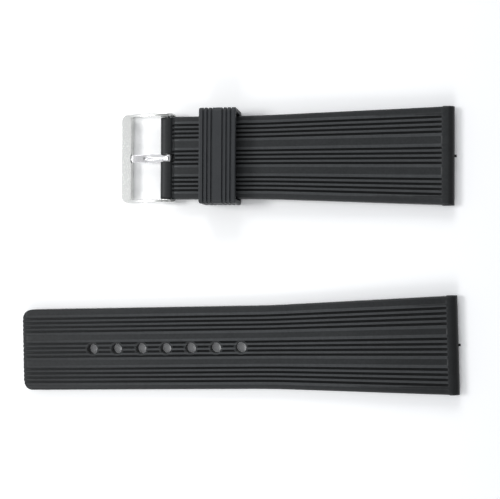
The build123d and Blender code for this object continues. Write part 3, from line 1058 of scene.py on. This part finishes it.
def arm_mesh(side):
    """One arm in side view, carried through its thickness. side is 1 for +Y and -1 for -Y."""
    front = window_x - front_bar_width / 4
    ear = bar_place.z
    steps = 16
    top = arc_points((front, front_bar_height), (window_x / 2, arm_crown), (0, ear + ear_radius), steps)
    turns = [pi * step / steps for step in range(1, steps)]
    back = [(ear_radius * sin(turn), ear + ear_radius * cos(turn)) for turn in turns]
    under = [(ear_radius * out, ear + ear_radius * up) for out, up in ear_under_shares]
    belly = (window_x * arm_belly_share, arm_belly_height)
    low = arc_points(under[-1], belly, (front, arm_root_height), 14)
    outline = top + back + under[:-1] + low
    outer = side * frame_half
    inner = side * (frame_half - arm_thickness)
    return skin("arm", [[(x, outer, z) for x, z in outline], [(x, inner, z) for x, z in outline]])


def front_bar_outline():
    """The front bar in plan: straight at the window, with two round corners at the front."""
    outline = [(window_x, -frame_half), (window_x, frame_half)]
    steps = 10
    for side, start in ((1, 90), (-1, 180)):
        for step in range(steps + 1):
            angle = radians(start + 90 * step / steps)
            outline.append((
                front_corner_round - frame_reach + front_corner_round * cos(angle),
                side * (frame_half - front_corner_round) + front_corner_round * sin(angle),
            ))
    return outline


buckle = new_object("buckle_steel", prism(front_bar_outline(), 0, front_bar_height), frame_steel)
tidy_normals(buckle.data)
notch_low = front_bar_height - notch_depth
notch_end = window_x + 2 * front_bar_width
notch_outline = rounded_outline(window_x - notch_reach, notch_end, notch_width / 2, notch_round)
combine(buckle, prism(notch_outline, notch_low, 2 * front_bar_height), "DIFFERENCE")
bevel(buckle, steel_bevel, segments=3, limit=35)
for side in (-1, 1):
    arm = new_object("arm", arm_mesh(side))
    tidy_normals(arm.data)
    bevel(arm, steel_bevel, segments=2, limit=50)
    combine(buckle, arm.data.copy(), "UNION")
    bpy.data.objects.remove(arm)
drill(buckle, knuckle_middle, Vector((0, 2 * frame_half, 0)), ear_hole_radius, steps=24)
buckle.data.transform(buckle_frame_place)
buckle.data.materials.clear()
buckle.data.materials.append(frame_steel)
shade(buckle, limit=30)
finish_piece(buckle, "buckle", "buckle_steel", "buckle_frame")

# %% [markdown]
# The tongue is a strip of steel. Its tip is pressed level where it rests in the notch, its body slopes
# up to the bar, and its end is curled round the bar to make the eye. The body has a narrow flat along
# the middle and a sloped cheek on each side, which give it a bright line with grey borders. A small
# table holds its form at a few places, and a skin is drawn through sections between them.

# %% Tongue
tongue_overlap = 0.1 * mm
tongue_top = tongue_high.z
tongue_tip_thickness = 0.75 * mm
tongue_seat_gap = 0.05 * mm
tip_top = notch_low + tongue_seat_gap + tongue_tip_thickness
tip_round = 0.8 * mm
tip_least_share = 0.4
eye_outer = tongue_high.x - bar_place.x
eye_wall = 0.58 * mm
eye_flat = 0.3 * mm
eye_width = 2.0 * mm
eye_turn = 318
tongue_edge = 0.1 * mm
tongue_reach = tongue_overlap - window_x

# Its form in mm: place along from the bar, top, thickness, width, width of the flat, and how deep the
# cheeks and the dimple are
reach, tip, crown = tongue_reach / mm, tip_top / mm, tongue_top / mm
tongue_form = (
    (-reach, tip - 0.2, 0.55, 2.0, 1.6, 0.03, 0),
    (-reach + 0.3, tip - 0.03, 0.72, 2.0, 1.6, 0.03, 0),
    (-reach + 0.6, tip, 0.75, 2.0, 1.6, 0.03, 0),
    (-7.0, tip, 0.75, 2.05, 1.6, 0.03, 0),
    (-6.55, tip, 0.75, 2.1, 1.5, 0.03, 0.01),
    (-6.15, tip + 0.01, 0.8, 2.2, 1.35, 0.04, 0.13),
    (-5.5, tip + 0.03, 0.9, 2.3, 1.15, 0.09, 0.16),
    (-4.7, tip + 0.12, 1.0, 2.35, 0.8, 0.2, 0.15),
    (-3.7, tip + 0.33, 1.1, 2.25, 0.6, 0.22, 0.04),
    (-2.2, tip + 0.73, 1.1, 2.05, 0.6, 0.22, 0),
    (-0.6, crown - 0.25, 0.8, 2.0, 0.6, 0.2, 0),
    (eye_flat / mm, crown, 0.58, 2.0, 0.8, 0.12, 0),
)


def tongue_at(x):
    """The form of the tongue at a place, drawn smoothly between the places of the table."""
    place = x / mm
    slack = 0.0001
    least_run = 0.001
    last = len(tongue_form) - 1
    row = max(index for index in range(last) if place >= tongue_form[index][0] - slack)
    before, here, there, after = (tongue_form[max(0, min(last, row + step))] for step in (-1, 0, 1, 2))
    run = there[0] - here[0]
    share = (place - here[0]) / run
    values = []
    for low, start, end, high in list(zip(before, here, there, after))[1:]:
        leave = (end - low) / max(there[0] - before[0], least_run) * run
        arrive = (high - start) / max(after[0] - here[0], least_run) * run
        values.append(
            (2 * share ** 3 - 3 * share ** 2 + 1) * start + (share ** 3 - 2 * share ** 2 + share) * leave
            + (3 * share ** 2 - 2 * share ** 3) * end + (share ** 3 - share ** 2) * arrive
        )
    return [value * mm for value in values]


def tongue_path():
    """Stations along the top of the strip: place, direction, thickness, width, flat, drop and dimple."""
    stations = []
    body_steps, curl_steps = 60, 40
    look_ahead = 0.02 * mm
    for step in range(body_steps + 1):
        x = -tongue_reach + (tongue_reach + eye_flat) * step / body_steps
        top, *form = tongue_at(x)
        behind = max(x - look_ahead, -tongue_reach)
        ahead = min(x + look_ahead, eye_flat)
        way = Vector((ahead - behind, tongue_at(ahead)[0] - tongue_at(behind)[0]))
        stations.append((Vector((x, top)), way.normalized(), *form))
    _, _, _, flat, drop, _ = tongue_at(eye_flat)
    corner = eye_outer - eye_flat
    corner_middle = Vector((eye_flat, tongue_top - corner))
    eye_middle = Vector((0, bar_place.z))
    for step in range(1, curl_steps + 1):
        angle = radians(90 - eye_turn * step / curl_steps)
        spoke = Vector((cos(angle), sin(angle)))
        share = smooth_step(-angle, 0, pi / 2)
        middle = corner_middle.lerp(eye_middle, share)
        place = middle + spoke * (corner + (eye_outer - corner) * share)
        stations.append((place, Vector((spoke.y, -spoke.x)), eye_wall, eye_width, flat, drop, 0))
    return stations


def tongue_section(thickness, width, flat, drop, dimple):
    """The outline of the strip: places across, with the depth under its top."""
    half = width / 2
    edge = tongue_edge
    flat_shares = (0, 0.2, 0.4, 0.6, 0.85)
    cheek_shares = (0.08, 0.3, 0.55, 0.8)
    cheek_bend = 1.05
    edge_turns = [pi / 2 * step / 3 for step in range(4)]
    corner = [(edge * sin(turn), edge * (1 - cos(turn))) for turn in edge_turns]
    side = [(flat / 2 * share, dimple * (1 - share) ** 2) for share in flat_shares]
    cheek = half - edge - flat / 2
    side += [(flat / 2 + cheek * share, drop * share ** cheek_bend) for share in cheek_shares]
    side += [(half - edge + out, drop + down) for out, down in corner]
    side += [(half - edge + out, thickness - down) for out, down in reversed(corner)]
    return side + [(-across, depth) for across, depth in reversed(side[1:])]


def tongue_loops():
    loops = []
    for place, way, thickness, width, flat, drop, dimple in tongue_path():
        down = Vector((way.y, -way.x))
        from_tip = place.x + tongue_reach
        if place.x < -tongue_reach / 2 and from_tip < tip_round:
            round_share = sqrt(max(tip_round ** 2 - (tip_round - from_tip) ** 2, 0)) / tip_round
            narrow = tip_least_share + (1 - tip_least_share) * round_share
            width *= narrow
            flat *= narrow
        loops.append([
            (place.x + down.x * depth, across, place.y + down.y * depth)
            for across, depth in tongue_section(thickness, width, flat, drop, dimple)
        ])
    return loops


tongue = new_object("tongue_steel_pin", skin("tongue_steel_pin", tongue_loops()), tongue_steel)
tidy_normals(tongue.data)
tongue.data.transform(buckle_frame_place)
shade(tongue, limit=45)
finish_piece(tongue, "tongue", "tongue_steel", "tongue")

# %% [markdown]
# The spring bar is small and turned, and its CAD shape is already right, so its pieces only get their
# finish.

# %% Spring bar
for name in ("bar_tube", "bar_tip_left", "bar_tip_right", "bar_spring"):
    node = frame["nodes"][name]
    node.data.materials.clear()
    node.data.materials.append(bar_steel)
    print(name, "takes", bar_steel.name)

# %% [markdown]
# A product photograph on white: the table's colour makes the white, not the lamps. The table is matt
# and pale, so it keeps the soft shadow of the strap. Two colours serve it. The light that it throws
# back on the strap is that of ordinary white paper. What the camera sees of it, directly or mirrored in
# the steel, is a whiter paper, which reaches full white at the left and is a little cooler and darker
# at the right. That darkening at the right is painted shade, for the light falling off across the table.

# %% Table
table_half = 0.8
paper_left = (1.17, 1.175, 1.18, 1)
# The right-hand colour is painted shade: darker where the light falls off
paper_right_shaded = (0.99, 1.0, 1.015, 1)
paper_plain = (0.82, 0.825, 0.83, 1)
falloff_from, falloff_to = -0.02, 0.09

table_mesh = bpy.data.meshes.new("table")
corners = [(x * table_half, y * table_half, 0) for x, y in ((-1, -1), (1, -1), (1, 1), (-1, 1))]
table_mesh.from_pydata(corners, [], [(0, 1, 2, 3)])
paper, tree, output = new_material("paper_white")
rays = add_node(tree, "ShaderNodeLightPath").outputs
seen = math_node(tree, "MAXIMUM", rays["Is Camera Ray"], rays["Is Glossy Ray"])
place = add_node(tree, "ShaderNodeTexCoord").outputs["Object"]
along = add_node(tree, "ShaderNodeSeparateXYZ", {0: place}).outputs["X"]
# Painted shade: the seen paper darkens from left to right
painted_falloff = add_node(tree, "ShaderNodeMapRange", {"Value": along, "From Min": falloff_from, "From Max": falloff_to})
paper_seen = mixed_colour(tree, painted_falloff.outputs["Result"], paper_left, paper_right_shaded)
matt_colour = mixed_colour(tree, seen, paper_plain, paper_seen)
matt = add_node(tree, "ShaderNodeBsdfDiffuse", {"Color": matt_colour})
tree.links.new(matt.outputs[0], output.inputs["Surface"])
table = new_object("table", table_mesh, paper)
print("table is", 2 * table_half, "m square")

# %% [markdown]
# The shadows say that the light in the photo is a soft key from the left, and two wide lamps above and
# below the frame, in a white room. The room is the world's colour, and three kinds of ray each see it
# their own way. Matt surfaces get light from its ceiling and little from its walls, so the shadows stay
# soft and dark near the strap. Steel mirrors the white walls, and overhead the dark camera, which is
# what gives polished steel its dark streaks. The camera itself sees plain white.

# %% Light
camera_place = Vector((42.30, -2.56, 256.37)) * mm
scene = bpy.context.scene
world = bpy.data.worlds.new("pale_room")
scene.world = world
world.use_nodes = True
tree = world.node_tree
tree.nodes.clear()
room_colour = (0.965, 0.98, 1.0, 1)
ceiling_way = (-0.35, 0, 0.94)
floor_light, ceiling_light = 0.1, 0.68
camera_dark, white_wall = 0.2, 0.95
dark_within, white_beyond = radians(8), radians(36)
far_from, far_to, far_wall = 0.3, 0.9, 0.6

direction = add_node(tree, "ShaderNodeTexCoord").outputs["Generated"]


def towards(way):
    """How far a ray points the given way, from -1 to 1."""
    dot = add_node(tree, "ShaderNodeVectorMath", {0: direction, 1: way}, operation="DOT_PRODUCT")
    return dot.outputs["Value"]


matt_light = ranged(tree, towards(ceiling_way), floor_light, ceiling_light)
walls = add_node(tree, "ShaderNodeMapRange", {
    "Value": towards(camera_place.normalized()),
    "From Min": cos(white_beyond),
    "From Max": cos(dark_within),
    "To Min": white_wall,
    "To Max": camera_dark,
}, interpolation_type="SMOOTHSTEP")
far_side = add_node(tree, "ShaderNodeMapRange", {
    "Value": towards((1, 0, 0)),
    "From Min": far_from,
    "From Max": far_to,
    "To Min": 1.0,
    "To Max": far_wall,
})
mirrored = math_node(tree, "MULTIPLY", walls.outputs["Result"], far_side.outputs["Result"])
rays = add_node(tree, "ShaderNodeLightPath").outputs
shone = add_node(tree, "ShaderNodeMix", {"Factor": rays["Is Glossy Ray"], "A": matt_light, "B": mirrored})
lit = shone.outputs[0]
strength = add_node(tree, "ShaderNodeMix", {"Factor": rays["Is Camera Ray"], "A": lit, "B": 1.0})
room = add_node(tree, "ShaderNodeBackground", {"Color": room_colour, "Strength": strength.outputs[0]})
add_node(tree, "ShaderNodeOutputWorld", {"Surface": room.outputs[0]})


def soft_lamp(name, place, size, power):
    """A square lamp that points at the middle of the table."""
    data = bpy.data.lights.new(name, "AREA")
    data.shape = "SQUARE"
    data.size = size
    data.energy = power
    lamp = bpy.data.objects.new(name, data)
    scene.collection.objects.link(lamp)
    lamp.location = place
    lamp.rotation_euler = (-Vector(place)).to_track_quat("-Z", "Y").to_euler()
    print(f"{name}: {power} W at {place} m")


soft_lamp("window", (-0.60, 0.03, 0.78), size=0.25, power=3.4)
soft_lamp("back_lamp", (-0.08, 0.80, 0.62), size=0.4, power=2.4)
soft_lamp("front_lamp", (-0.08, -0.80, 0.62), size=0.4, power=2.35)

# %% [markdown]
# The camera was solved from the photograph: it looks almost straight down, from over the lug ends, and
# its tilt makes the tail's tip look a little smaller than its lug end.

# %% Camera
camera_lens = 69.7
camera_tilt = (radians(0.81), radians(8.52), radians(0.33))
nearest_seen, farthest_seen = 0.01, 10.0

camera_data = bpy.data.cameras.new("camera")
camera_data.lens = camera_lens
camera_data.clip_start = nearest_seen
camera_data.clip_end = farthest_seen
camera = bpy.data.objects.new("camera", camera_data)
scene.collection.objects.link(camera)
camera.location = camera_place
camera.rotation_euler = camera_tilt
scene.camera = camera
scene.view_settings.view_transform = "Standard"
print("camera at", [round(value / mm, 1) for value in camera.location], "mm")
